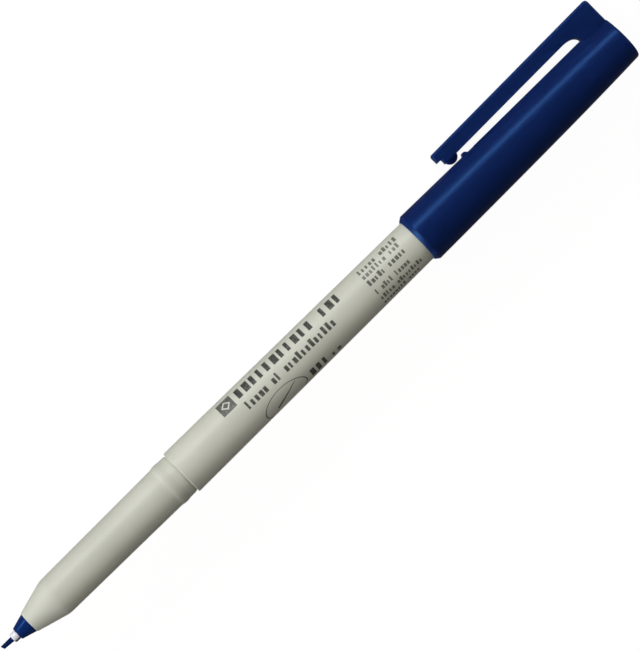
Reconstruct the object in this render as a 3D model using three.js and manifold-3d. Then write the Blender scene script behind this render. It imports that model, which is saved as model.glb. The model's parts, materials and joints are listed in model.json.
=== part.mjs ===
// A calligraphy marker with a chisel nib, its cap posted on the tail of the barrel.
//
// The pen is drawn in its own frame: x runs along the axis from the barrel's front shoulder (x = 0)
// towards the tail, so the nib lies at negative x; y points from the axis to the clip; z runs across
// the clip. At the end the whole pen is turned about x until it lies on its clip and on the cap's
// rim, as it does on a table, and is moved so that its box stands centred over the origin.
// Millimetres, +Z up.
import * as THREE from "three";
import { mergeVertices } from "three/addons/utils/BufferGeometryUtils.js";
import Module from "manifold-3d";

const wasm = await Module();
wasm.setup();

// ---- driving dimensions ----

const FINE_SIDES = 48; // facets round the shells and the reservoir
const SMALL_SIDES = 24; // facets round the nib's small parts
const SEAT = 0.03; // gap between two pieces that are pushed together

const BARREL = {
  length: 83.4,
  radius: 4.62, // at the shoulder
  taper: 0.0057, // loss of radius for each millimetre towards the tail
  boreRadius: 3.5,
  socketRadius: 3.93, // takes the front section's spigot
  socketDepth: 9,
  edge: 0.15,
};

const SECTION = {
  noseX: -37.8,
  noseRadius: 2.04,
  shoulderX: -31.3, // where the nose cone meets the grip
  shoulderRadius: 3.95,
  gripRadius: 4.18, // just in front of the snap ring
  ringX: -2.8,
  ringRadius: 4.35,
  neckRadius: 4.24, // between the snap ring and the barrel
  boreRadius: 3.28,
  noseBoreRadius: 1.63,
};

const HOLDER = { frontX: -40.62, frontRadius: 1.18, coneRadius: 1.98, shankRadius: 1.6, rearX: -26 };
const SLEEVE = { frontX: -41.9, rearX: -35, radius: 0.94 };
const NIB = {
  tipX: -44.4,
  rearX: -34,
  width: 1, // where it leaves the sleeve
  tipWidth: 0.8,
  thickness: 0.55,
  slantDegrees: 19,
};
const WICK = { rearX: -13, radius: 0.86 };
const RESERVOIR = { frontX: -19, rearX: 68, radius: 3.05 };
const WRAP = { radius: 3.22, thickness: 0.14, overhang: 0.6 };
const PLUG = { frontX: 70, flange: 1.1, bore: 2.7, wall: 0.8 };

const CAP = {
  mouthX: 58.9, // where the mouth stands when the cap is posted
  length: 51.8,
  mouthRadius: 5.165,
  draft: 0.0095, // loss of radius for each millimetre from the mouth
  crown: 0.425, // further loss at the closed end, growing with the fourth power
  chamferLength: 0.85,
  chamferRadius: 4.55,
  endRound: 0.5,
  boreRadius: 4.45,
  boreDraft: 0.0088,
  beadRadius: 4.31,
  beadDepth: 1.7,
  seatDepth: 33, // the inner cap's seat
  endWall: 2.25,
};
const INNER_CAP = { depth: 15.8, outerRadius: 3.9, innerRadius: 3.3, taper: 0.012, floor: 0.9 };

const CLIP = {
  tipX: 71.1,
  splitX: 102.1, // the arm ends here and the root block begins
  slotEndX: 104.9,
  endX: 110.52,
  tipOuter: 9.1, // height of the outer face over the axis at the tip
  endOuter: 9.7,
  tipInner: 6.18, // height of the inner face over the axis beside the ball
  rootInner: 6.5,
  rootWidth: 3.8,
  tipWidth: 3.4,
  lipLength: 1.05,
  lipInner: 7.28,
  ballX: 73.6,
  ballY: 6.6,
  ballRadius: 1.44,
  plate: 1.1, // thickness of the outer plate over the channel
  sideWall: 0.85,
  edge: 0.4, // chamfer along the outer face
};
const HINGE_GAP = 0.3; // between the arm and the root block
const PAD = { startX: 78, height: 4.97, width: 3.4 };
const NUB = { x: 75.82, radius: 0.6, height: 5.47, width: 2.4 };

// ---- materials ----

const material = (color, roughness) =>
  new THREE.MeshStandardMaterial({ color, roughness, metalness: 0 });

const BEIGE = material(0xcdccbe, 0.5);
const NAVY = material(0x10234f, 0.35);
const MILK = material(0xe6e6ee, 0.4);
const INK = material(0x12265c, 0.7);
const FIBRE = material(0x1d3477, 0.95);
const FILM = material(0xd9dfe6, 0.2);

// ---- helpers ----

/** A piece turned about x from a list of [x, radius] points, which starts and ends on the axis. */
function turned(profile, sides = FINE_SIDES) {
  const points = profile.map(([x, radius]) => new THREE.Vector2(radius, x));
  return new THREE.LatheGeometry(points, sides).rotateZ(-Math.PI / 2);
}

/** A tube turned about x: its outside from front to rear, then its inside from rear to front. */
function turnedTube(outside, inside, sides = FINE_SIDES) {
  return turned([...outside, ...inside, outside[0]], sides);
}

/** The plate that an outline in x and y makes when it is given a width in z, centred on the axis. */
function plate(outline, width) {
  const geometry = new THREE.ExtrudeGeometry(outline, {
    depth: width,
    bevelEnabled: false,
    curveSegments: 12,
  });
  return geometry.translate(0, 0, -width / 2);
}

function shape(points) {
  return new THREE.Shape(points.map(([x, y]) => new THREE.Vector2(x, y)));
}

function box(x0, x1, y0, y1, width) {
  return plate(shape([[x0, y0], [x1, y0], [x1, y1], [x0, y1]]), width);
}

function solid(geometry) {
  const bare = geometry.clone();
  bare.deleteAttribute("normal");
  bare.deleteAttribute("uv");
  const merged = mergeVertices(bare, 1e-4);
  return new wasm.Manifold(
    new wasm.Mesh({
      numProp: 3,
      vertProperties: merged.attributes.position.array,
      triVerts: new Uint32Array(merged.index.array),
    }),
  );
}

function geometryOf(manifold) {
  const { vertProperties, triVerts } = manifold.getMesh();
  const geometry = new THREE.BufferGeometry();
  geometry.setAttribute("position", new THREE.BufferAttribute(new Float32Array(vertProperties), 3));
  geometry.setIndex(new THREE.BufferAttribute(new Uint32Array(triVerts), 1));
  geometry.computeVertexNormals();
  return geometry;
}

function piece(name, geometry, itsMaterial) {
  const mesh = new THREE.Mesh(geometry, itsMaterial);
  mesh.name = name;
  return mesh;
}

/** The points of a profile between two stations, worked out by a formula for the radius. */
function sweep(fromX, toX, steps, radiusAt) {
  return Array.from({ length: steps + 1 }, (_, i) => {
    const x = fromX + ((toX - fromX) * i) / steps;
    return [x, radiusAt(x)];
  });
}

const mix = (a, b, share) => a + (b - a) * share;

// ---- barrel side ----

const barrelRadius = (x) => BARREL.radius - BARREL.taper * x;

function barrel() {
  const outside = [
    [0, BARREL.radius - BARREL.edge],
    [BARREL.edge, BARREL.radius],
    [BARREL.length, barrelRadius(BARREL.length)],
  ];
  const inside = [
    [BARREL.length, BARREL.boreRadius],
    [BARREL.socketDepth, BARREL.boreRadius],
    [BARREL.socketDepth, BARREL.socketRadius],
    [0, BARREL.socketRadius],
  ];
  return turnedTube(outside, inside);
}

/** The grip with its nose cone and snap ring, and the spigot that plugs it into the barrel. */
function frontSection() {
  const s = SECTION;
  const lip = 0.2;
  const ringRise = 0.9;
  const ringFall = 1.2;
  const spigotRadius = BARREL.socketRadius - SEAT;
  const outside = [
    [s.noseX, s.noseRadius - lip / 2],
    [s.noseX + lip, s.noseRadius + lip / 4],
    [s.shoulderX - 0.3, s.shoulderRadius - 0.1],
    [s.shoulderX + 0.3, s.shoulderRadius],
    [s.ringX - ringRise, s.gripRadius],
    [s.ringX - 0.3, s.ringRadius],
    [s.ringX + 0.2, s.ringRadius],
    [s.ringX + ringFall, s.neckRadius],
    [-SEAT, s.neckRadius],
    [-SEAT, spigotRadius],
    [BARREL.socketDepth - 0.6, spigotRadius],
    [BARREL.socketDepth - 0.2, spigotRadius - 0.3],
  ];
  const inside = [
    [BARREL.socketDepth - 0.2, s.boreRadius],
    [s.shoulderX + 5, s.boreRadius],
    [s.shoulderX - 1, s.noseBoreRadius],
    [s.noseX, s.noseBoreRadius],
  ];
  return turnedTube(outside, inside);
}

/** The coloured cone at the nose, with the shank that holds the nib's sleeve and the wick. */
function nibHolder() {
  const h = HOLDER;
  const bore = SLEEVE.radius + SEAT;
  const outside = [
    [h.frontX, h.frontRadius - 0.08],
    [h.frontX + 0.1, h.frontRadius],
    [SECTION.noseX - SEAT, h.coneRadius],
    [SECTION.noseX - SEAT, h.shankRadius],
    [h.rearX - 0.4, h.shankRadius],
    [h.rearX, h.shankRadius - 0.2],
  ];
  const inside = [
    [h.rearX, bore],
    [h.frontX, bore],
  ];
  return turnedTube(outside, inside, SMALL_SIDES);
}

/** The white sleeve, with a flat slot that keeps the chisel nib square. */
function nibSleeve() {
  const s = SLEEVE;
  const chamfer = 0.25;
  const rod = turned(
    [
      [s.frontX, 0],
      [s.frontX, s.radius - chamfer],
      [s.frontX + chamfer, s.radius],
      [s.rearX, s.radius],
      [s.rearX, 0],
    ],
    SMALL_SIDES,
  );
  const halfSlot = NIB.width / 2 + SEAT;
  const slot = box(s.frontX - 1, s.rearX + 1, -halfSlot, halfSlot, NIB.thickness + 2 * SEAT);
  return geometryOf(solid(rod).subtract(solid(slot)));
}

/** The flat nib, which narrows a little and is cut off at a slant so that its upper corner leads. */
function nib() {
  const upperY = NIB.width / 2;
  const slant = NIB.tipWidth * Math.tan(THREE.MathUtils.degToRad(NIB.slantDegrees));
  const outline = shape([
    [NIB.tipX, upperY],
    [NIB.tipX + slant, upperY - NIB.tipWidth],
    [SLEEVE.frontX, -upperY],
    [NIB.rearX, -upperY],
    [NIB.rearX, upperY],
  ]);
  return plate(outline, NIB.thickness);
}

function feedWick() {
  const frontX = NIB.rearX + SEAT;
  const blunt = 0.15;
  return turned(
    [
      [frontX, 0],
      [frontX, WICK.radius - blunt],
      [frontX + blunt, WICK.radius],
      [WICK.rearX - 0.5, WICK.radius],
      [WICK.rearX, WICK.radius / 2],
      [WICK.rearX, 0],
    ],
    SMALL_SIDES,
  );
}

/** The fibre rod that holds the ink, with a pocket in its front end for the wick. */
function reservoir() {
  const r = RESERVOIR;
  const pocketX = WICK.rearX + 0.2;
  const pocketRadius = WICK.radius + SEAT;
  return turned([
    [pocketX, 0],
    [pocketX, pocketRadius],
    [r.frontX, pocketRadius],
    [r.frontX, r.radius],
    [r.rearX, r.radius],
    [r.rearX, 0],
  ]);
}

function reservoirWrap() {
  const frontX = RESERVOIR.frontX - WRAP.overhang;
  const rearX = RESERVOIR.rearX + WRAP.overhang;
  const inner = WRAP.radius - WRAP.thickness;
  return turnedTube(
    [[frontX, WRAP.radius], [rearX, WRAP.radius]],
    [[rearX, inner], [frontX, inner]],
  );
}

/** The plug that closes the tail: a flange as wide as the barrel, and a hollow spigot. */
function tailPlug() {
  const flangeX = BARREL.length + SEAT;
  const endX = flangeX + PLUG.flange;
  const flangeRadius = barrelRadius(BARREL.length);
  const spigotRadius = BARREL.boreRadius - SEAT;
  const floorX = endX - PLUG.wall - 0.6;
  const round = 0.35;
  return turned([
    [floorX, 0],
    [floorX, PLUG.bore],
    [PLUG.frontX, PLUG.bore],
    [PLUG.frontX, spigotRadius - 0.2],
    [PLUG.frontX + 0.5, spigotRadius],
    [flangeX, spigotRadius],
    [flangeX, flangeRadius],
    [endX - round, flangeRadius],
    [endX - round / 3, flangeRadius - round / 3],
    [endX, flangeRadius - round],
    [endX, 0],
  ]);
}

// ---- cap side ----

const capRadius = (x) => {
  const depth = x - CAP.mouthX;
  return CAP.mouthRadius - CAP.draft * depth - CAP.crown * (depth / CAP.length) ** 4;
};
const capBoreRadius = (x) => CAP.boreRadius - CAP.boreDraft * (x - CAP.mouthX);

/** The cap's outside: the chamfered mouth, the wall that draws in, and the rounded closed end. */
function capOutside() {
  const endX = CAP.mouthX + CAP.length;
  const roundX = endX - CAP.endRound;
  const endRound = [30, 60, 90].map((degrees) => {
    const angle = THREE.MathUtils.degToRad(degrees);
    return [
      roundX + CAP.endRound * Math.sin(angle),
      capRadius(roundX) - CAP.endRound * (1 - Math.cos(angle)),
    ];
  });
  return turned([
    [CAP.mouthX, 0],
    [CAP.mouthX, CAP.chamferRadius],
    ...sweep(CAP.mouthX + CAP.chamferLength, roundX, 8, capRadius),
    ...endRound,
    [endX, 0],
  ]);
}

/** The hollow of the cap: the mouth with its snap bead, the bore, and the inner cap's seat. */
function capHollow() {
  const beadX = CAP.mouthX + CAP.beadDepth;
  const seatX = CAP.mouthX + CAP.seatDepth;
  const floorX = CAP.mouthX + CAP.length - CAP.endWall;
  return turned([
    [CAP.mouthX - 1, 0],
    [CAP.mouthX - 1, CAP.boreRadius + 0.05],
    [CAP.mouthX, CAP.boreRadius + 0.05],
    [beadX - 0.5, capBoreRadius(beadX)],
    [beadX, CAP.beadRadius],
    [beadX + 0.5, capBoreRadius(beadX)],
    [seatX, capBoreRadius(seatX)],
    [seatX, INNER_CAP.outerRadius + SEAT],
    [floorX, INNER_CAP.outerRadius - INNER_CAP.taper * INNER_CAP.depth + SEAT],
    [floorX, 0],
  ]);
}

const clipOuter = (x) =>
  mix(CLIP.tipOuter, CLIP.endOuter, (x - CLIP.tipX) / (CLIP.endX - CLIP.tipX));
const clipInner = (x) =>
  mix(CLIP.tipInner, CLIP.rootInner, (x - CLIP.ballX) / (CLIP.splitX - CLIP.ballX));

/** The block that joins the clip's arm to the cap, with the curved end of the slot under it. */
function clipRoot() {
  const startX = CLIP.splitX + HINGE_GAP;
  const embedded = capRadius(CLIP.endX) - 0.5; // sunk into the cap's wall
  const outline = new THREE.Shape();
  outline.moveTo(startX, clipOuter(startX));
  outline.lineTo(startX, CLIP.rootInner);
  outline.quadraticCurveTo(CLIP.slotEndX - 0.3, CLIP.rootInner, CLIP.slotEndX, PAD.height);
  outline.lineTo(CLIP.slotEndX, embedded);
  outline.lineTo(CLIP.endX - CAP.endRound, embedded);
  outline.lineTo(CLIP.endX, embedded + CAP.endRound);
  outline.lineTo(CLIP.endX, CLIP.endOuter - 0.55);
  outline.absarc(CLIP.endX - 0.55, CLIP.endOuter - 0.55, 0.55, 0, Math.PI / 2, false);
  return bevelledEdges(solid(plate(outline, CLIP.rootWidth)), CLIP.rootWidth);
}

/** Takes the two long outer edges off a clip piece of the given width. */
function bevelledEdges(manifold, width) {
  const half = width / 2;
  const reach = 2;
  const bevel = (side) => {
    const corner = new THREE.Shape([
      new THREE.Vector2(-CLIP.edge, 0),
      new THREE.Vector2(reach, -reach - CLIP.edge),
      new THREE.Vector2(reach, reach),
      new THREE.Vector2(-CLIP.edge, reach),
    ]);
    const length = CLIP.endX - CLIP.tipX;
    const wedge = new THREE.ExtrudeGeometry(corner, { depth: length + 4, bevelEnabled: false });
    const slope = Math.atan2(CLIP.endOuter - CLIP.tipOuter, length);
    const place = new THREE.Matrix4()
      .makeBasis(
        new THREE.Vector3(0, 0, side),
        new THREE.Vector3(0, 1, 0),
        new THREE.Vector3(-side, 0, 0),
      )
      .premultiply(new THREE.Matrix4().makeRotationZ(slope))
      .setPosition(side > 0 ? CLIP.endX + 2 : CLIP.tipX - 2, 0, side * half);
    const height = clipOuter(side > 0 ? CLIP.endX + 2 : CLIP.tipX - 2);
    return solid(wedge.applyMatrix4(place).translate(0, height, 0));
  };
  return manifold.subtract(bevel(1)).subtract(bevel(-1));
}

/** The flat bed under the clip, which comes out of the cap's wall as the wall draws in. */
function clipPad() {
  const sunk = capRadius(CLIP.slotEndX) - 0.5;
  return solid(box(PAD.startX, CLIP.slotEndX + 0.5, sunk, PAD.height, PAD.width));
}

/** The small ridge on the cap that stops what the clip holds from slipping out. */
function clipNub() {
  const ridge = new THREE.CylinderGeometry(NUB.radius, NUB.radius, NUB.width, 16);
  return solid(ridge.rotateX(Math.PI / 2).translate(NUB.x, NUB.height - NUB.radius, 0));
}

function capShell() {
  const outside = solid(capOutside()).add(clipRoot()).add(clipPad()).add(clipNub());
  return geometryOf(outside.subtract(solid(capHollow())));
}

/** The sprung arm: a channel, open towards the cap, with a ball and a thin lip at its free end. */
function clipArm() {
  const lipEndX = CLIP.tipX + CLIP.lipLength;
  const side = shape([
    [CLIP.tipX, CLIP.lipInner],
    [lipEndX, CLIP.lipInner],
    [lipEndX, clipInner(lipEndX)],
    [CLIP.splitX, clipInner(CLIP.splitX)],
    [CLIP.splitX, clipOuter(CLIP.splitX)],
    [CLIP.tipX + 0.3, clipOuter(CLIP.tipX + 0.3)],
    [CLIP.tipX, clipOuter(CLIP.tipX) - 0.3],
  ]);
  const channelStart = CLIP.ballX + CLIP.ballRadius + 0.4;
  const channel = shape([
    [channelStart, CLIP.tipInner - 1],
    [CLIP.splitX - 3, CLIP.tipInner - 1],
    [CLIP.splitX - 3, clipOuter(CLIP.splitX) - CLIP.plate],
    [channelStart, clipOuter(channelStart) - CLIP.plate],
  ]);
  const ball = new THREE.SphereGeometry(CLIP.ballRadius, 24, 16).translate(CLIP.ballX, CLIP.ballY, 0);
  const arm = bevelledEdges(solid(plate(side, CLIP.rootWidth)), CLIP.rootWidth)
    .subtract(solid(plate(channel, CLIP.rootWidth - 2 * CLIP.sideWall)))
    .add(solid(ball));
  return narrowed(geometryOf(arm));
}

/** Draws the arm in across its width, from the root to the tip. */
function narrowed(geometry) {
  const position = geometry.getAttribute("position");
  const share = CLIP.tipWidth / CLIP.rootWidth;
  for (let i = 0; i < position.count; i += 1) {
    const along = (position.getX(i) - CLIP.tipX) / (CLIP.splitX - CLIP.tipX);
    position.setZ(i, position.getZ(i) * mix(share, 1, along));
  }
  geometry.computeVertexNormals();
  return geometry;
}

/** The cup inside the cap that closes round the nose and keeps the nib wet. */
function innerCap() {
  const c = INNER_CAP;
  const frontX = CAP.mouthX + CAP.seatDepth + SEAT;
  const endX = frontX + c.depth;
  const floorX = endX - c.floor;
  return turned([
    [floorX, 0],
    [floorX, c.innerRadius - c.taper * c.depth],
    [frontX + 0.5, c.innerRadius],
    [frontX, c.innerRadius + 0.2],
    [frontX, c.outerRadius - 0.1],
    [frontX + 0.2, c.outerRadius],
    [endX - 0.3, c.outerRadius - c.taper * c.depth],
    [endX, c.outerRadius - c.taper * c.depth - 0.3],
    [endX, 0],
  ]);
}

// ---- assembly ----

const cap = new THREE.Group();
cap.add(
  piece("cap_shell", capShell(), NAVY),
  piece("cap_clip", clipArm(), NAVY),
  piece("inner_cap", innerCap(), MILK),
);

const pen = new THREE.Group();
pen.add(
  piece("barrel", barrel(), BEIGE),
  piece("front_section", frontSection(), BEIGE),
  piece("nib_holder", nibHolder(), NAVY),
  piece("nib_sleeve", nibSleeve(), MILK),
  piece("nib", nib(), INK),
  piece("feed_wick", feedWick(), INK),
  piece("reservoir", reservoir(), FIBRE),
  piece("reservoir_wrap", reservoirWrap(), FILM),
  piece("tail_plug", tailPlug(), BEIGE),
  cap,
);

// The lean at which the clip's lowest edge and the cap's rim stand on one table.
const edgeY = CLIP.endOuter - CLIP.edge;
const edgeZ = CLIP.rootWidth / 2;
const rimRadius = capRadius(CAP.mouthX + CAP.chamferLength);
const lean = Math.asin(rimRadius / Math.hypot(edgeY, edgeZ)) - Math.atan2(edgeZ, edgeY);
pen.rotation.x = -lean;

const marker = new THREE.Group();
marker.add(pen);
const bounds = new THREE.Box3().setFromObject(marker, true);
const centre = bounds.getCenter(new THREE.Vector3());
pen.position.set(-centre.x, -centre.y, -bounds.min.z);

export default marker;
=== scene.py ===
import json
import math

import bmesh
import bpy
from mathutils import Matrix, Vector


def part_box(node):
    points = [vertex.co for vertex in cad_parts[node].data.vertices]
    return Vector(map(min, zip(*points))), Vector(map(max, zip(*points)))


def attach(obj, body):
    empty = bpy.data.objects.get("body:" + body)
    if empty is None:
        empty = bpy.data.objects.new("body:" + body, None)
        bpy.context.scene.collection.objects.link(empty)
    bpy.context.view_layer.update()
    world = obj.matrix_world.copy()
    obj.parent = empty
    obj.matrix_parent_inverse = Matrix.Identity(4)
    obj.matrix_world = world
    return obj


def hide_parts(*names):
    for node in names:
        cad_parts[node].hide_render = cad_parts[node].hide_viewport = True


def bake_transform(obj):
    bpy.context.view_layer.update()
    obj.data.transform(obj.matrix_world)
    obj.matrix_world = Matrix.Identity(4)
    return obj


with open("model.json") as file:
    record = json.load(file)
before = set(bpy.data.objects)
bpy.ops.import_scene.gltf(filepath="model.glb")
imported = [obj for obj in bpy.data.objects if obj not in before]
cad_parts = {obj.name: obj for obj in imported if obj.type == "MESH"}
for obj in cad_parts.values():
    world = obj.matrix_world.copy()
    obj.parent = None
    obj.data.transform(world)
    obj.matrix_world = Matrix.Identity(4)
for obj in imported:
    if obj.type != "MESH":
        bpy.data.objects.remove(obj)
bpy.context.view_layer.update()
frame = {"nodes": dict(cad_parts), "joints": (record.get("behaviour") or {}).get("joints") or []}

# ---- the pen's own frame ----
#
# Every piece is drawn in millimetres in the pen's frame: x runs along the axis from the barrel's
# shoulder (x = 0) to the tail, y from the axis towards the clip, and z across the clip. The frame's
# place in the row comes from the barrel's box and from the axis of the clip's hinge.

MM = 0.001


def joint(name):
    return next(j for j in frame["joints"] if j["name"] == name)


barrel_low, barrel_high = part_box("barrel")
axis_centre = (barrel_low + barrel_high) / 2
ALONG = Vector((1, 0, 0))
ACROSS = -Vector(joint("clip_flex")["axis"]).normalized()
TO_CLIP = ACROSS.cross(ALONG)
SHOULDER = Vector((barrel_low.x, axis_centre.y, axis_centre.z))


def at(x, y, z):
    """The row's point, in metres, for a point of the pen's frame in millimetres."""
    return SHOULDER + (ALONG * x + TO_CLIP * y + ACROSS * z) * MM


def ends(node):
    """The first and the last x of a CAD node, in the pen's frame."""
    low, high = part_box(node)
    return (low.x - SHOULDER.x) / MM, (high.x - SHOULDER.x) / MM


def radius_of(node):
    low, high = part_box(node)
    return (high.z - low.z) / 2 / MM


# ---- driving dimensions, in millimetres ----

TURNS = 128  # facets round a turned piece
ON_AXIS = 1e-6  # a smaller radius is a point on the axis
SHARP = 38  # degrees; a steeper edge is not shaded smooth
GAP = 0.03  # between two pieces that are pushed together

BARREL_END = ends("barrel")[1]
BARREL_RADIUS = radius_of("barrel")
BARREL_TAPER = 0.0057
BARREL_BORE = 3.5
SOCKET_RADIUS, SOCKET_DEPTH = 3.93, 9.0

NOSE_X = -37.8
HOLDER_X, HOLDER_END = ends("nib_holder")
SLEEVE_X, SLEEVE_END = ends("nib_sleeve")
NIB_X, NIB_END = ends("nib")

CAP_X, CAP_END = ends("cap_shell")
CLIP_X = ends("cap_clip")[0]
INNER_X, INNER_END = ends("inner_cap")
CAP_LENGTH = CAP_END - CAP_X


def barrel_radius(x):
    return BARREL_RADIUS - BARREL_TAPER * x


# ---- meshes ----


def piece_from(name, vertices, faces, sharp=SHARP):
    """An object from points of the pen's frame. An edge over the angle, in degrees, stays sharp."""
    mesh = bpy.data.meshes.new(name)
    mesh.from_pydata([at(*v) for v in vertices], [], faces)
    obj = bpy.data.objects.new(name, mesh)
    bpy.context.scene.collection.objects.link(obj)
    return tidied(obj, sharp)


def tidied(obj, sharp=SHARP):
    """Turns the faces outwards and sets which edges stay sharp."""
    work = bmesh.new()
    work.from_mesh(obj.data)
    bmesh.ops.remove_doubles(work, verts=work.verts, dist=1e-7)
    bmesh.ops.recalc_face_normals(work, faces=work.faces)
    work.to_mesh(obj.data)
    work.free()
    obj.data.shade_smooth()
    obj.data.set_sharp_from_angle(angle=math.radians(sharp))
    return obj


def with_fillets(corners, closed, steps=5):
    """The profile through corners (x, r) or (x, r, fillet), with an arc at each filleted corner."""
    profile = []
    count = len(corners)
    for i, corner in enumerate(corners):
        here = Vector(corner[:2])
        fillet = corner[2] if len(corner) > 2 else 0
        at_end = not closed and i in (0, count - 1)
        if not fillet or at_end:
            profile.append(here)
            continue
        before = (Vector(corners[i - 1][:2]) - here).normalized()
        after = (Vector(corners[(i + 1) % count][:2]) - here).normalized()
        half = before.angle(after) / 2
        reach = fillet / math.tan(half)
        centre = here + (before + after).normalized() * fillet / math.sin(half)
        first = here + before * reach - centre
        last = here + after * reach - centre
        turn = first.angle_signed(last)
        for k in range(steps + 1):
            spun = Matrix.Rotation(-turn * k / steps, 2) @ first
            profile.append(centre + spun)
    return profile


def bridged(rings):
    """Faces between neighbouring rings of vertices. A ring of one repeated vertex is a point."""
    faces = []
    for a, b in zip(rings, rings[1:]):
        for k in range(len(a)):
            n = (k + 1) % len(a)
            face = list(dict.fromkeys((a[k], a[n], b[n], b[k])))
            if len(face) > 2:
                faces.append(face)
    return faces


def turned(name, corners, closed=False, sharp=SHARP):
    """A piece turned about the pen's axis. An open profile starts and ends on the axis."""
    profile = with_fillets(corners, closed)
    vertices, rings = [], []
    for x, r in profile:
        if r < ON_AXIS:
            rings.append([len(vertices)] * TURNS)
            vertices.append((x, 0, 0))
            continue
        rings.append(list(range(len(vertices), len(vertices) + TURNS)))
        for k in range(TURNS):
            angle = 2 * math.pi * k / TURNS
            vertices.append((x, r * math.cos(angle), r * math.sin(angle)))
    faces = bridged(rings + rings[:1] if closed else rings)
    return piece_from(name, vertices, faces, sharp)


def prism(name, outline, width_at):
    """A plate with an outline in x and y, whose width in z may change along x."""
    count = len(outline)
    vertices = [(x, y, side * width_at(x) / 2) for side in (-1, 1) for x, y in outline]
    faces = [list(range(count)), list(range(2 * count - 1, count - 1, -1))]
    for k in range(count):
        n = (k + 1) % count
        faces.append([k, n, count + n, count + k])
    return piece_from(name, vertices, faces)


def evaluated(obj):
    """Puts the result of the object's modifiers into its mesh."""
    bpy.context.view_layer.update()
    graph = bpy.context.evaluated_depsgraph_get()
    mesh = bpy.data.meshes.new_from_object(obj.evaluated_get(graph))
    obj.modifiers.clear()
    obj.data = mesh
    return tidied(obj)


def combine(obj, other, operation):
    """Joins the other solid to obj, or cuts it out of obj, and deletes the other."""
    modifier = obj.modifiers.new(operation.lower(), "BOOLEAN")
    modifier.operation = operation
    modifier.solver = "EXACT"
    modifier.object = other
    evaluated(obj)
    bpy.data.objects.remove(other)
    return obj


def round_edges(obj, width, segments, weight_of):
    """Bevels each edge by width times its weight, which weight_of works out from its two ends."""
    weights = obj.data.attributes.new("bevel_weight_edge", "FLOAT", "EDGE")
    inverse = Matrix((ALONG, TO_CLIP, ACROSS))
    points = [inverse @ (v.co - SHOULDER) / MM for v in obj.data.vertices]
    for edge in obj.data.edges:
        weights.data[edge.index].value = weight_of(*(points[v] for v in edge.vertices))
    bevel = obj.modifiers.new("bevel", "BEVEL")
    bevel.limit_method = "WEIGHT"
    bevel.width = width * MM
    bevel.segments = segments
    bevel.use_clamp_overlap = True
    return evaluated(obj)


def arc(cx, cy, rx, ry, first, last, steps, power=1.0):
    """Points of an ellipse's arc between two angles of its first quarter, in degrees.

    A power under 1 makes the arc fuller than the ellipse.
    """
    points = []
    for k in range(steps + 1):
        angle = math.radians(first + (last - first) * k / steps)
        across, up = max(math.cos(angle), 0) ** power, max(math.sin(angle), 0) ** power
        points.append((cx + rx * across, cy + ry * up))
    return points


# ---- materials ----


class Material:
    """A node material, with short ways to add the nodes that this scene uses."""

    def __init__(self, name, **shader_values):
        self.material = bpy.data.materials.new(name)
        self.material.use_nodes = True
        self.nodes = self.material.node_tree.nodes
        self.links = self.material.node_tree.links
        self.shader = self.nodes["Principled BSDF"]
        self.place = self.nodes.new("ShaderNodeTexCoord").outputs["Object"]
        for socket, value in shader_values.items():
            self.shader.inputs[socket.replace("_", " ")].default_value = value

    def set(self, socket, value):
        if isinstance(value, bpy.types.NodeSocket):
            self.links.new(value, socket)
        else:
            socket.default_value = value

    def feed(self, socket, value):
        self.set(self.shader.inputs[socket], value)

    def math(self, operation, *values):
        node = self.nodes.new("ShaderNodeMath")
        node.operation = operation
        for socket, value in zip(node.inputs, values):
            self.set(socket, value)
        return node.outputs[0]

    def dot(self, vector, direction):
        node = self.nodes.new("ShaderNodeVectorMath")
        node.operation = "DOT_PRODUCT"
        self.set(node.inputs[0], vector)
        node.inputs[1].default_value = direction
        return node.outputs["Value"]

    def measured(self, direction):
        """How far the place is from the barrel's shoulder in a direction, in millimetres."""
        centred = self.nodes.new("ShaderNodeVectorMath")
        centred.operation = "SUBTRACT"
        self.set(centred.inputs[0], self.place)
        centred.inputs[1].default_value = SHOULDER
        return self.dot(centred.outputs[0], direction / MM)

    def stretched(self, along, across):
        """The place, scaled along the pen and across it."""
        node = self.nodes.new("ShaderNodeMapping")
        self.set(node.inputs["Vector"], self.place)
        node.inputs["Scale"].default_value = (along, across, across)
        return node.outputs[0]

    def noise(self, scale, detail=3.0, place=None, roughness=0.5):
        node = self.nodes.new("ShaderNodeTexNoise")
        self.set(node.inputs["Vector"], place or self.place)
        node.inputs["Scale"].default_value = scale
        node.inputs["Detail"].default_value = detail
        node.inputs["Roughness"].default_value = roughness
        return node.outputs[0]

    def ranged(self, value, low, high, to_low, to_high):
        node = self.nodes.new("ShaderNodeMapRange")
        self.set(node.inputs["Value"], value)
        numbers = {"From Min": low, "From Max": high, "To Min": to_low, "To Max": to_high}
        for socket, number in numbers.items():
            node.inputs[socket].default_value = number
        return node.outputs[0]

    def mix(self, share, first, second):
        node = self.nodes.new("ShaderNodeMix")
        node.data_type = "RGBA"
        self.set(node.inputs["Factor"], share)
        for socket, value in ((node.inputs[6], first), (node.inputs[7], second)):
            self.set(socket, value)
        return node.outputs[2]

    def bump(self, height, distance, strength=1.0, under=None):
        node = self.nodes.new("ShaderNodeBump")
        node.inputs["Strength"].default_value = strength
        node.inputs["Distance"].default_value = distance
        self.set(node.inputs["Height"], height)
        if under:
            self.set(node.inputs["Normal"], under)
        return node.outputs[0]


def srgb(r, g, b):
    """A linear colour from the 0 to 255 values that a screen shows."""
    def linear(v):
        v /= 255
        return v / 12.92 if v <= 0.04045 else ((v + 0.055) / 1.055) ** 2.4
    return (linear(r), linear(g), linear(b), 1)


def shaded(colour, share):
    return (*(c * share for c in colour[:3]), 1)


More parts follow.
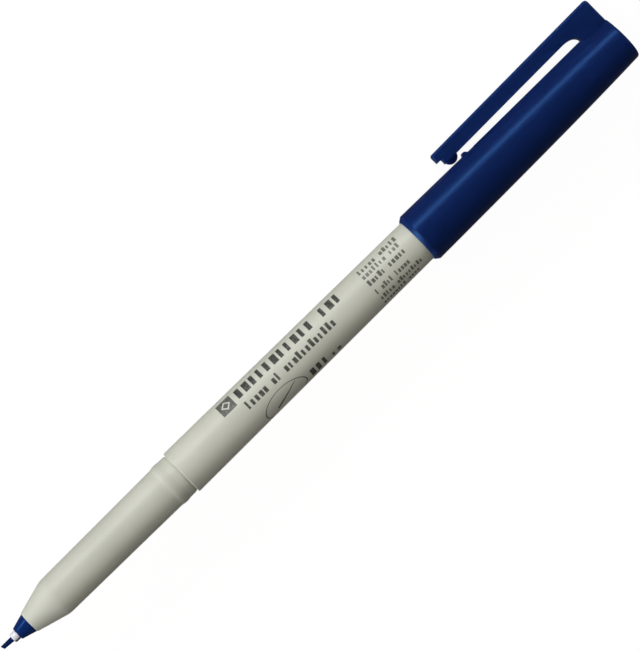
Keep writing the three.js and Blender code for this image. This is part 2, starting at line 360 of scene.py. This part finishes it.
def moulded(name, colour, rough, grain=0.6, **shader_values):
    """Moulded plastic: a fine grain, faint rubbed lines along the pen, slightly uneven colour."""
    m = Material(name, **shader_values)
    clouds = m.noise(90, 2)
    cloudy = m.ranged(clouds, 0.3, 0.7, 0, 1)
    m.colour = m.mix(cloudy, shaded(colour, 0.965), shaded(colour, 1.03))
    m.feed("Base Color", m.colour)
    rubbed = m.noise(1, 4, m.stretched(160, 5200), 0.6)
    grainy = m.noise(5200, 3)
    uneven = m.math("ADD", m.math("MULTIPLY", rubbed, 0.6), m.math("MULTIPLY", grainy, 0.4))
    m.feed("Roughness", m.ranged(uneven, 0.3, 0.7, rough * 0.86, rough * 1.14))
    fine = m.bump(grainy, 0.000012, grain)
    soft = m.bump(m.noise(420, 2), 0.00003, 0.35, fine)
    m.feed("Normal", soft)
    return m


BEIGE = srgb(204, 205, 192)
NAVY = srgb(16, 35, 91)
NAVY_GLOSS = (0.1, 0.35, 1, 1)
BLUE = srgb(15, 42, 100)
MILK = srgb(232, 231, 243)
INK_BLACK = srgb(36, 37, 36)
NIB_INK = srgb(13, 29, 80)


# The print on the barrel: rows of plain blocks in words, a square with a lozenge, and an oval
# with a slanted bar. Places round the barrel are in millimetres of arc, from the side of the
# camera towards the clip. A row is (first x, base line, height of a low block, pitch, blocks in
# each word, ink).
ROWS = (
    (16.5, 2.22, 2.3, 1.73, (11, 3), 0.95),
    (16.5, -0.54, 1.17, 1.045, (5, 2, 12), 0.92),
    (47.0, 3.14, 0.9, 0.86, (5, 5), 0.8),
    (47.0, 1.69, 0.8, 0.82, (7, 3), 0.75),
    (47.0, 0.0, 0.85, 0.83, (5, 5), 0.84),
    (47.0, -2.13, 0.8, 0.69, (1, 4, 5), 0.8),
    (47.0, -3.78, 0.75, 0.68, (5, 9), 0.8),
    (47.0, -5.3, 0.75, 0.68, (8, 4), 0.8),
    (28.8, -5.5, 2.05, 1.5, (3,), 0.92),
    (33.9, -5.5, 1.1, 1.3, (2,), 0.8),
)
NARROWEST, WIDEST = 0.4, 0.76  # share of the pitch that a block takes
TALL_BLOCK = 1.42  # height of a tall block, in heights of a low one
TALL_FROM = 0.66  # random numbers over this make a tall block
SQUARE_MARK = (13.9, 3.25, 3.2)  # x, arc, side
OVAL_MARK = (22.7, -4.4, 5.05, 2.78)  # x, arc, half length, half height
OVAL_LINE = 0.24
BAR_MARK = (23.1, -3.75, 0.41, 2.75)  # x, arc, slope, half length
BAR_THICKNESS = (0.5, 0.14)  # at its first and its last x
MARK_INK = 0.85


def printed(m, reference_radius):
    """Adds the barrel's print to a material."""
    x = m.measured(ALONG)
    round_axis = m.math("ARCTAN2", m.measured(TO_CLIP), m.measured(ACROSS))
    place = m.math("MULTIPLY", round_axis, reference_radius)

    def band(value, low, high):
        over = m.math("GREATER_THAN", value, low)
        return m.math("MULTIPLY", over, m.math("LESS_THAN", value, high))

    def any_of(values):
        total = values[0]
        for value in values[1:]:
            total = m.math("MAXIMUM", total, value)
        return total

    def drawn(cell, seed):
        """A random number for each cell of a row."""
        node = m.nodes.new("ShaderNodeTexWhiteNoise")
        node.noise_dimensions = "1D"
        m.set(node.inputs["W"], m.math("ADD", cell, seed))
        return node.outputs[0]

    def row(number, start, base, height, pitch, words, ink):
        count = m.math("DIVIDE", m.math("SUBTRACT", x, start), pitch)
        cell = m.math("FLOOR", count)
        level = number == 0 or len(words) == 1  # all its blocks are low
        seed = 100.5 * number
        tall = m.math("GREATER_THAN", drawn(cell, seed + 7), 2 if level else TALL_FROM)
        top = m.math("ADD", m.math("MULTIPLY", tall, height * (TALL_BLOCK - 1)), base + height)
        inside = band(place, base, top)
        width = m.ranged(drawn(cell, seed + 57), 0, 1, NARROWEST, WIDEST)
        block = m.math("LESS_THAN", m.math("FRACT", count), width)
        spans, first = [], 0
        for length in words:
            spans.append(band(count, first, first + length))
            first += length + (0.8 if level else 1)
        shown = m.math("MULTIPLY", m.math("MULTIPLY", inside, block), any_of(spans))
        return m.math("MULTIPLY", shown, ink)

    def beside(value, middle):
        return m.math("ABSOLUTE", m.math("SUBTRACT", value, middle))

    cx, cy, side = SQUARE_MARK
    dx, dy = beside(x, cx), beside(place, cy)
    square = m.math("LESS_THAN", m.math("MAXIMUM", dx, dy), side / 2)
    lozenge = band(m.math("ADD", dx, dy), side * 0.2, side * 0.33)
    square = m.math("MULTIPLY", square, m.math("SUBTRACT", 1, lozenge))
    cx, cy, length, height = OVAL_MARK
    dx, dy = beside(x, cx), m.math("MULTIPLY", beside(place, cy), length / height)
    away = m.math("SQRT", m.math("ADD", m.math("MULTIPLY", dx, dx), m.math("MULTIPLY", dy, dy)))
    oval = band(away, length - OVAL_LINE, length)
    cx, cy, slope, half = BAR_MARK
    thickness = m.ranged(x, cx - half, cx + half, *BAR_THICKNESS)
    slanted = m.math("SUBTRACT", place, m.math("MULTIPLY", m.math("SUBTRACT", x, cx), slope))
    in_length = m.math("LESS_THAN", beside(x, cx), half)
    in_thickness = m.math("LESS_THAN", beside(slanted, cy), m.math("MULTIPLY", thickness, 0.5))
    bar = m.math("MULTIPLY", in_length, in_thickness)
    marks = [m.math("MULTIPLY", mark, MARK_INK) for mark in (square, oval, bar)]
    cover = any_of([row(number, *entry) for number, entry in enumerate(ROWS)] + marks)
    worn = m.ranged(m.noise(2600, 2), 0.35, 0.5, 0.88, 1)
    m.feed("Base Color", m.mix(m.math("MULTIPLY", cover, worn), m.colour, INK_BLACK))


def barrel_material():
    m = moulded("beige_barrel", BEIGE, 0.42, 0.5)
    printed(m, BARREL_RADIUS)
    return m.material


def milk_dark_away_from_clip():
    """The sleeve's plastic, turning to the nib's ink blue along its side away from the clip."""
    m = moulded("milk_sleeve", MILK, 0.35, 0.3)
    edge = m.math("ADD", m.measured(TO_CLIP), m.math("MULTIPLY", m.noise(1500, 2), 0.5))
    # Darker, in the nib's ink blue, towards the side away from the clip.
    dark_away_share = m.ranged(edge, -0.44, -0.3, 0.9, 0)
    m.feed("Base Color", m.mix(dark_away_share, m.colour, NIB_INK))
    return m.material


def fibre(name, colour, rough, **shader_values):
    """Bonded fibres that run along the pen."""
    m = Material(name, **shader_values)
    strands = m.noise(1, 4, m.stretched(300, 9000), 0.65)
    streaks = m.ranged(strands, 0.35, 0.65, 0, 1)
    m.feed("Base Color", m.mix(streaks, shaded(colour, 0.6), shaded(colour, 1.35)))
    m.feed("Roughness", m.ranged(strands, 0.3, 0.7, rough * 0.9, rough))
    m.feed("Normal", m.bump(strands, 0.00004, 0.8))
    return m.material


def wrap_film():
    m = Material("wrap_film", Alpha=0.45)
    creases = m.noise(1, 3, m.stretched(250, 700))
    m.feed("Base Color", m.mix(creases, srgb(196, 206, 216), srgb(228, 234, 240)))
    m.feed("Roughness", m.ranged(creases, 0.3, 0.7, 0.12, 0.3))
    m.feed("Normal", m.bump(creases, 0.0001, 0.5))
    return m.material


beige = moulded("beige_moulding", BEIGE, 0.42, 0.5).material
beige_print = barrel_material()
navy = moulded(
    "navy_moulding", NAVY, 0.32, 0.45, Specular_Tint=NAVY_GLOSS,
    Subsurface_Weight=0.8, Subsurface_Scale=0.003, Subsurface_Radius=(1, 1, 1),
).material
blue = moulded("blue_moulding", BLUE, 0.2, 0.5, Specular_Tint=NAVY_GLOSS).material
milk = moulded("milk_moulding", MILK, 0.35, 0.3).material
nib_ink = fibre(
    "nib_soaked", NIB_INK, 0.55, Specular_IOR_Level=0.3, Specular_Tint=NAVY_GLOSS,
)
wick_ink = fibre("wick_soaked", srgb(26, 46, 118), 0.85)
reservoir_ink = fibre("reservoir_soaked", srgb(34, 56, 132), 0.95)


def finish(obj, material, slot, body, *nodes):
    """Gives a piece its material, sets what it rides on, and hides the CAD nodes it stands for. The
    slot argument is not used.
    """
    obj.data.materials.clear()
    obj.data.materials.append(material)
    if body:
        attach(obj, body)
    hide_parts(*nodes)
    return obj


# ---- the barrel's pieces ----


def make_barrel():
    end_radius = barrel_radius(BARREL_END)
    tube = turned(
        "barrel_tube",
        [
            (0, SOCKET_RADIUS, 0.05),
            (0, BARREL_RADIUS, 0.28),
            (BARREL_END, end_radius, 0.1),
            (BARREL_END, BARREL_BORE),
            (SOCKET_DEPTH, BARREL_BORE),
            (SOCKET_DEPTH, SOCKET_RADIUS),
        ],
        closed=True,
    )
    finish(tube, beige_print, "beige_plastic", "barrel", "barrel")


NOSE_RADIUS, NOSE_BORE = 2.17, 1.63
CONE_END = (-31.4, 3.96)  # x and radius where the nose cone meets the grip
GRIP_END = (-3.75, 4.19)
RING_START, RING_STOP, RING_RADIUS = -3.2, -2.5, 4.35  # the snap ring for the cap
NECK_START, NECK_RADIUS = -1.6, 4.25  # between the snap ring and the barrel
GROOVE_X, GROOVE_RADIUS = -0.38, 4.13  # a shallow groove at the barrel's edge
SECTION_BORE = 3.28


def make_front_section():
    spigot = SOCKET_RADIUS - GAP
    spigot_end = SOCKET_DEPTH - 0.2
    section = turned(
        "grip_section",
        [
            (NOSE_X, NOSE_BORE, 0.05),
            (NOSE_X, NOSE_RADIUS, 0.24),
            (*CONE_END, 4.5),
            (*GRIP_END, 1.9),
            (RING_START, RING_RADIUS, 1.9),
            (RING_STOP, RING_RADIUS, 3.0),
            (NECK_START, NECK_RADIUS, 3.0),
            (GROOVE_X, NECK_RADIUS - 0.01, 0.03),
            (GROOVE_X + 0.2, GROOVE_RADIUS),
            (-GAP, GROOVE_RADIUS),
            (-GAP, spigot),
            (spigot_end - 0.4, spigot),
            (spigot_end, spigot - 0.3),
            (spigot_end, SECTION_BORE),
            (CONE_END[0] + 5.4, SECTION_BORE),
            (CONE_END[0] - 0.6, NOSE_BORE),
        ],
        closed=True,
        sharp=30,
    )
    finish(section, beige, "beige_plastic", "barrel", "front_section")


HOLDER_FRONT, HOLDER_CONE, HOLDER_SHANK = 1.24, 2.05, 1.6  # radii
SLEEVE_RADIUS = 0.94


def make_nose():
    bore = SLEEVE_RADIUS + GAP
    seat = HOLDER_X + 0.25
    cone = turned(
        "nose_cone",
        [
            (seat, bore),
            (seat, bore + 0.06),
            (HOLDER_X, bore + 0.1, 0.03),
            (HOLDER_X, HOLDER_FRONT, 0.08),
            (NOSE_X - GAP, HOLDER_CONE, 0.03),
            (NOSE_X - GAP, HOLDER_SHANK),
            (HOLDER_END - 0.4, HOLDER_SHANK),
            (HOLDER_END, HOLDER_SHANK - 0.2),
            (HOLDER_END, bore),
        ],
        closed=True,
    )
    finish(cone, blue, "blue_plastic", "barrel", "nib_holder")


NIB_WIDTH, NIB_TIP_WIDTH, NIB_THICKNESS = 1.0, 0.8, 0.55
NIB_SLANT = math.tan(math.radians(19))


def make_nib_and_sleeve():
    rod = turned(
        "nib_tube",
        [
            (SLEEVE_X, 0),
            (SLEEVE_X, SLEEVE_RADIUS, 0.36),
            (SLEEVE_END, SLEEVE_RADIUS, 0.05),
            (SLEEVE_END, 0),
        ],
    )
    clearance = 0.06
    half = NIB_WIDTH / 2 + clearance
    slot = prism(
        "nib_slot",
        [
            (SLEEVE_X - 1, -half),
            (SLEEVE_END + 1, -half),
            (SLEEVE_END + 1, half),
            (SLEEVE_X - 1, half),
        ],
        lambda x: NIB_THICKNESS + 2 * clearance,
    )
    combine(rod, slot, "DIFFERENCE")
    finish(rod, milk_dark_away_from_clip(), "white_plastic", "barrel", "nib_sleeve")

    upper = NIB_WIDTH / 2
    blade = prism(
        "chisel_nib",
        [
            (NIB_X, upper),
            (NIB_X + NIB_SLANT * NIB_TIP_WIDTH, upper - NIB_TIP_WIDTH),
            (SLEEVE_X, -upper),
            (NIB_END, -upper),
            (NIB_END, upper),
        ],
        lambda x: NIB_THICKNESS,
    )
    round_edges(blade, 0.05, 3, lambda a, b: 1)
    finish(blade, nib_ink, "nib_fibre", "barrel", "nib")


def make_tail():
    low, high = ends("tail_plug")
    radius = barrel_radius(BARREL_END)
    flange = BARREL_END + GAP
    spigot = BARREL_BORE - GAP
    floor = high - 1.4
    bore = 2.7
    stopper = turned(
        "tail_stopper",
        [
            (floor, 0),
            (floor, bore),
            (low, bore),
            (low, spigot, 0.2),
            (flange, spigot),
            (flange, radius, 0.06),
            (high, radius, 0.38),
            (high, 1.6, 0.1),
            (high - 0.25, 1.5, 0.1),
            (high - 0.25, 0),
        ],
    )
    finish(stopper, beige, "beige_plastic", "barrel", "tail_plug")


# ---- the cap ----

CAP_RADIUS = 5.165
CAP_DRAFT = 0.0095
CAP_CROWN = 0.425
MOUTH_CHAMFER = 0.85
MOUTH_EDGE = 4.55
END_ROUND = 0.5
CAP_BORE = 4.45
BORE_DRAFT = 0.0088
BEAD_DEPTH, BEAD_RADIUS = 1.7, 4.31
SEAT_DEPTH, SEAT_RADIUS = 33.0, 3.93  # where the inner cap sits
END_WALL, FLOOR_RADIUS = 2.25, 3.74

BED_TOP, BED_HALF, BED_START = 5.0, 1.5, 77.7
BED_SIDE, RIDGE_SIDE = 45, 85  # steepness of the sides, in degrees
BED_BLEND, RIDGE_BLEND = 0.12, 0.1  # over these heights a shape runs into the wall
RIDGE_TOP, RIDGE_HALF, RIDGE_X = 5.5, 1.25, 75.75
WALL_TOP = 4.6  # a height that stays hidden in the cap's wall
SLOT_END = 104.9  # where the slot under the clip stops


def cap_radius(x):
    depth = x - CAP_X
    return CAP_RADIUS - CAP_DRAFT * depth - CAP_CROWN * (depth / CAP_LENGTH) ** 4


def bore_radius(x):
    return CAP_BORE - BORE_DRAFT * (x - CAP_X)


def smooth_max(a, b, blend):
    """The larger of two values, rounded over where they are nearly the same."""
    share = max(blend - abs(a - b), 0) / blend
    return max(a, b) + share * share * blend / 4


def smooth_step(low, high, value):
    share = min(max((value - low) / (high - low), 0), 1)
    return share * share * (3 - 2 * share)


def bar_radius(top, half, side_angle, angle):
    """How far a bar under the clip reaches from the axis, in the direction of the angle.

    Its flat top lies at the given height. Its sides start half a width out, and side_angle, in
    degrees, says how steep they are.
    """
    steep = math.radians(side_angle)
    if abs(angle) >= steep:
        return 0
    side = top * math.cos(steep) + half * math.sin(steep)
    to_top = top / math.cos(angle)
    to_side = side / (math.cos(angle) * math.cos(steep) + abs(math.sin(angle)) * math.sin(steep))
    return -smooth_max(-to_top, -to_side, BED_BLEND)


def ridge_share(x):
    """The small ridge: a steep side towards the clip's tip and an easy slope behind."""
    rise = smooth_step(RIDGE_X - 0.9, RIDGE_X - 0.3, x)
    fall = 1 - smooth_step(RIDGE_X + 0.05, RIDGE_X + 1.15, x)
    return min(rise, fall)


def cap_surface(x, base, angle):
    """The cap's outside: the turned wall, with the flat bed and the ridge."""
    radius = base
    rounded_off = cap_radius(x) - base
    if x > BED_START - 0.4:
        rise = smooth_step(BED_START, BED_START + 0.35, x) - smooth_step(SLOT_END, SLOT_END + 2, x)
        top = BED_TOP - 0.35 * (1 - rise) - rounded_off
        radius = smooth_max(radius, bar_radius(top, BED_HALF, BED_SIDE, angle), BED_BLEND)
    share = ridge_share(x)
    if share > 0:
        top = RIDGE_TOP - (RIDGE_TOP - WALL_TOP) * (1 - share)
        ridge = bar_radius(top, RIDGE_HALF, RIDGE_SIDE, angle)
        radius = smooth_max(radius, ridge, RIDGE_BLEND)
    return radius


def spread(stops):
    """Values along the stretches between stops, given as (value, steps up to the next stop)."""
    values = []
    for (low, steps), (high, _) in zip(stops, stops[1:]):
        values += [low + (high - low) * k / steps for k in range(steps)]
    return values + [stops[-1][0]]


def make_cap_skin():
    round_x = CAP_END - END_ROUND
    outer = with_fillets(
        [
            (CAP_X, CAP_BORE + 0.05, 0),
            (CAP_X, MOUTH_EDGE, 0.08),
            (CAP_X + MOUTH_CHAMFER, cap_radius(CAP_X + MOUTH_CHAMFER), 0.25),
            (CAP_X + 4, cap_radius(CAP_X + 4)),
        ],
        closed=False,
    )[1:-1]
    stations = spread([
        (CAP_X + 2, 12),
        (RIDGE_X - 1, 28),
        (RIDGE_X + 1.2, 5),
        (BED_START - 0.2, 8),
        (BED_START + 0.6, 36),
        (SLOT_END - 0.5, 10),
        (SLOT_END + 0.5, 8),
        (round_x, 0),
    ])
    outer += [Vector((x, cap_radius(x))) for x in stations]
    last = cap_radius(round_x)
    outer += [
        Vector(p) for p in arc(round_x, last - END_ROUND, END_ROUND, END_ROUND, 78, 0, 6)
    ]
    outer += [Vector((CAP_END, r)) for r in (3.0, 2.0, 1.0)]
    seat = CAP_X + SEAT_DEPTH
    bead = CAP_X + BEAD_DEPTH
    floor = CAP_END - END_WALL
    inner = with_fillets(
        [
            (floor, 0),
            (floor, FLOOR_RADIUS),
            (seat, SEAT_RADIUS),
            (seat, bore_radius(seat)),
            (bead + 0.5, bore_radius(bead), 0.4),
            (bead, BEAD_RADIUS, 0.3),
            (bead - 0.5, bore_radius(bead), 0.4),
            (CAP_X, CAP_BORE + 0.05, 0),
        ],
        closed=False,
    )
    angles = [math.radians(v) for v in spread([(0, 36), (36, 40), (180, 0)])]
    angles += [-v for v in reversed(angles[1:-1])]
    count = len(angles)
    vertices, rings = [], []
    for i, (x, r) in enumerate(inner + outer):
        if r < ON_AXIS:
            rings.append([len(vertices)] * count)
            vertices.append((x, 0, 0))
            continue
        rings.append(list(range(len(vertices), len(vertices) + count)))
        for angle in angles:
            radius = cap_surface(x, r, angle) if i >= len(inner) else r
            vertices.append((x, radius * math.cos(angle), radius * math.sin(angle)))
    rings.append([len(vertices)] * count)
    vertices.append((CAP_END, 0, 0))
    skin = piece_from("cap_skin", vertices, bridged(rings), sharp=32)
    finish(skin, navy, "navy_plastic", "cap", "cap_shell")


CLIP_END = 110.5
CLIP_OUTER = (9.1, 9.7)  # height of the outer face at the tip and at the closed end
CLIP_INNER = (6.2, 6.58)  # height of the inner face at the ball and at the root
CLIP_WIDTH = (3.4, 3.8)  # at the tip and at the root
LIP_LENGTH, LIP_INNER = 1.03, 7.27
BALL_X, BALL_Y, BALL_RADIUS = 73.6, 6.6, 1.44
SLOT_CURVE = 2.87
FIN_CORNER = 0.66
CHANNEL_PLATE, CHANNEL_WALL = 1.1, 0.85
BEND_START, BEND_END = 103.2, 96.0  # between them the skin bends from the cap to the arm
BEND_CUTS = 18
TIP_CHAMFER = 0.28
EDGE_ROUND, SMALL_ROUND = 0.5, 0.24  # in mm, and as a share of it


def along_clip(pair, x, first, last):
    share = (x - first) / (last - first)
    return pair[0] + (pair[1] - pair[0]) * share


def clip_outer(x):
    return along_clip(CLIP_OUTER, x, CLIP_X, CLIP_END)


def clip_inner(x):
    return along_clip(CLIP_INNER, x, BALL_X, SLOT_END - SLOT_CURVE)


def clip_width(x):
    return along_clip(CLIP_WIDTH, min(x, SLOT_END), CLIP_X, SLOT_END)


def make_clip():
    lip_end = CLIP_X + LIP_LENGTH
    curve_x = SLOT_END - SLOT_CURVE
    sunk = 3.6
    slot_drop = clip_inner(curve_x) - BED_TOP + 0.15
    outline = [
        (CLIP_X, LIP_INNER),
        (lip_end, LIP_INNER),
        (lip_end, clip_inner(lip_end)),
    ]
    outline += arc(curve_x, clip_inner(curve_x) - slot_drop, SLOT_CURVE, slot_drop, 90, 0, 14, 0.84)
    outline += [(SLOT_END, sunk), (CLIP_END, sunk)]
    corner_x, corner_y = CLIP_END - FIN_CORNER, clip_outer(CLIP_END) - FIN_CORNER
    outline += arc(corner_x, corner_y, FIN_CORNER, FIN_CORNER, 0, 90, 8)
    outline += [
        (CLIP_X + TIP_CHAMFER, clip_outer(CLIP_X + TIP_CHAMFER)),
        (CLIP_X, clip_outer(CLIP_X) - TIP_CHAMFER),
    ]
    clip = prism("clip_spring", outline, clip_width)

    channel_x = BALL_X + BALL_RADIUS + 0.4
    channel_end = curve_x - 1.5
    channel = prism(
        "clip_channel",
        [
            (channel_x, 5),
            (channel_end, 5),
            (channel_end, clip_outer(channel_end) - CHANNEL_PLATE),
            (channel_x, clip_outer(channel_x) - CHANNEL_PLATE),
        ],
        lambda x: clip_width(x) - 2 * CHANNEL_WALL,
    )
    combine(clip, channel, "DIFFERENCE")

    def weight(a, b):
        """The long outer edges are rounded most; the smooth stretches of the outline not at all."""
        outer = all(p.y > clip_outer(p.x) - FIN_CORNER - 0.02 for p in (a, b))
        flat_side = abs(a.z - b.z) < 0.3
        if outer and flat_side:
            return 1
        if not flat_side and (outer or a.x > curve_x):
            return 0
        return SMALL_ROUND

    round_edges(clip, EDGE_ROUND, 5, weight)
    work = bmesh.new()
    bmesh.ops.create_uvsphere(work, u_segments=40, v_segments=24, radius=BALL_RADIUS * MM)
    bmesh.ops.translate(work, vec=at(BALL_X, BALL_Y, 0), verts=work.verts)
    mesh = bpy.data.meshes.new("clip_ball")
    work.to_mesh(mesh)
    work.free()
    ball = bpy.data.objects.new("clip_ball", mesh)
    bpy.context.scene.collection.objects.link(ball)
    combine(clip, ball, "UNION")

    work = bmesh.new()
    work.from_mesh(clip.data)
    for k in range(BEND_CUTS + 1):
        cut_x = BEND_END + (BEND_START - BEND_END) * k / BEND_CUTS
        everything = work.verts[:] + work.edges[:] + work.faces[:]
        place = at(cut_x, 0, 0)
        bmesh.ops.bisect_plane(work, geom=everything, plane_co=place, plane_no=ALONG, dist=1e-8)
    work.to_mesh(clip.data)
    work.free()
    clip.data.set_sharp_from_angle(angle=math.radians(SHARP))
    finish(clip, navy, "navy_plastic", None, "cap_clip")
    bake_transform(clip)


def make_liner():
    liner = turned(
        "cap_liner",
        [
            (INNER_END - 0.9, 0),
            (INNER_END - 0.9, 3.11, 0.3),
            (INNER_X + 0.5, 3.3),
            (INNER_X, 3.5, 0.05),
            (INNER_X, 3.88, 0.1),
            (INNER_END, 3.7, 0.3),
            (INNER_END, 0),
        ],
    )
    finish(liner, milk, "white_plastic", "cap", "inner_cap")


def finish_carried_nodes():
    """The ink store stays as the CAD has it, and gets its materials."""
    for node, material in (
        ("reservoir", reservoir_ink),
        ("feed_wick", wick_ink),
        ("reservoir_wrap", wrap_film()),
    ):
        mesh = frame["nodes"][node].data
        mesh.materials.clear()
        mesh.materials.append(material)


# ---- the studio ----

VIEW_HEIGHT = 801.0  # from the pen's axis to the camera, square to the clip's flat side
VIEW_FOOT = 0.0  # where along the pen the camera stands
AIM = (36.04, 1.43)  # the middle of the picture, in x and y
MM_PER_DOT = 0.178
PICTURE_WIDTH, PICTURE_HEIGHT = 640, 650
PEN_ANGLE = 44.55  # degrees that the pen rises from left to right in the picture
SENSOR = 36.0


def make_camera():
    stand = at(VIEW_FOOT, 0, VIEW_HEIGHT)
    aim = at(*AIM, 0)
    back = (stand - aim).normalized()
    pen = (ALONG - back * ALONG.dot(back)).normalized()
    across = back.cross(pen)
    angle = math.radians(PEN_ANGLE)
    right = pen * math.cos(angle) - across * math.sin(angle)
    up = back.cross(right)
    camera = bpy.data.cameras.new("camera")
    camera.sensor_width = SENSOR
    longest = max(PICTURE_WIDTH, PICTURE_HEIGHT)
    camera.lens = (stand - aim).length / MM / MM_PER_DOT * SENSOR / longest
    camera.clip_start = 0.01
    camera.clip_end = 20
    obj = bpy.data.objects.new("camera", camera)
    turn = Matrix((right, up, back)).transposed()
    obj.matrix_world = Matrix.Translation(stand) @ turn.to_4x4()
    bpy.context.scene.collection.objects.link(obj)
    bpy.context.scene.camera = obj


def make_floor():
    """A round pale floor whose rim rises into a pale dome: a plain ground for every view."""
    radius, segments, rings = 3.0, 64, 16
    vertices, faces = [(0, 0, 0)], []
    for ring in range(rings):
        rise = math.pi / 2 * ring / rings
        across, height = radius * math.cos(rise), radius * math.sin(rise)
        for k in range(segments):
            turn = 2 * math.pi * k / segments
            vertices.append((across * math.cos(turn), across * math.sin(turn), height))
    vertices.append((0, 0, radius))
    top = len(vertices) - 1
    last_ring = top - segments
    for k in range(segments):
        n = (k + 1) % segments
        faces.append((0, 1 + k, 1 + n))
        for ring in range(rings - 1):
            a, b = 1 + ring * segments, 1 + (ring + 1) * segments
            faces.append((a + k, a + n, b + n, b + k))
        faces.append((last_ring + k, last_ring + n, top))
    mesh = bpy.data.meshes.new("floor")
    mesh.from_pydata(vertices, [], faces)
    floor = bpy.data.objects.new("floor", mesh)
    bpy.context.scene.collection.objects.link(floor)
    m = Material("pale_floor", Roughness=0.9, Specular_IOR_Level=0.0)
    m.feed("Base Color", m.mix(m.noise(3, 2), (0.1, 0.1, 0.1, 1), (0.11, 0.11, 0.11, 1)))
    m.shader.inputs["Emission Color"].default_value = (1, 1, 1, 1)
    m.shader.inputs["Emission Strength"].default_value = 0.95
    mesh.materials.append(m.material)
    floor.visible_diffuse = False
    floor.visible_glossy = False
    floor.visible_shadow = False


COOL, WARM = (0.975, 0.99, 1), (1, 0.965, 0.9)  # colours of the lamps


def light(name, direction, distance, width, length, power, colour, glossy=True):
    """A soft rectangle, long in the pen's direction, which faces the middle of the pen."""
    data = bpy.data.lights.new(name, "AREA")
    data.shape = "RECTANGLE"
    data.size = length
    data.size_y = width
    data.energy = power
    data.color = colour
    obj = bpy.data.objects.new(name, data)
    middle = at((NIB_X + CAP_END) / 2, 0, 0)
    back = direction.normalized()
    side = (ALONG - back * ALONG.dot(back)).normalized()
    turn = Matrix((side, back.cross(side), back)).transposed()
    obj.matrix_world = Matrix.Translation(middle + back * distance) @ turn.to_4x4()
    obj.visible_glossy = glossy
    obj.visible_camera = False
    bpy.context.scene.collection.objects.link(obj)


def make_lights():
    def over(degrees, along=0.0):
        """A direction from the pen: from the camera's side, by degrees towards the clip."""
        angle = math.radians(degrees)
        return ACROSS * math.cos(angle) + TO_CLIP * math.sin(angle) + ALONG * along

    light("key", over(49), 0.9, 0.25, 1.4, 6.1, COOL)
    light("front", over(-5), 1.2, 0.8, 1.2, 2.7, WARM, glossy=False)
    light("side", over(85), 1.2, 0.8, 1.2, 1.4, COOL, glossy=False)
    light("nib_end", over(25, along=-2.8), 1.2, 0.8, 0.8, 9, COOL)
    light("cap_end", over(-10, along=1.7), 1.2, 0.8, 0.8, 1.8, WARM)
    light("bounce", Vector((0, -0.6, -0.8)), 0.6, 0.3, 1.2, 5, WARM, glossy=False)
    world = bpy.data.worlds.new("studio")
    world.use_nodes = True
    background = world.node_tree.nodes["Background"]
    background.inputs["Color"].default_value = (*WARM, 1)
    background.inputs["Strength"].default_value = 0.07
    bpy.context.scene.world = world
    bpy.context.scene.view_settings.view_transform = "Standard"


make_camera()
make_barrel()
make_front_section()
make_nose()
make_nib_and_sleeve()
make_tail()
make_cap_skin()
make_clip()
make_liner()
finish_carried_nodes()
make_floor()
make_lights()
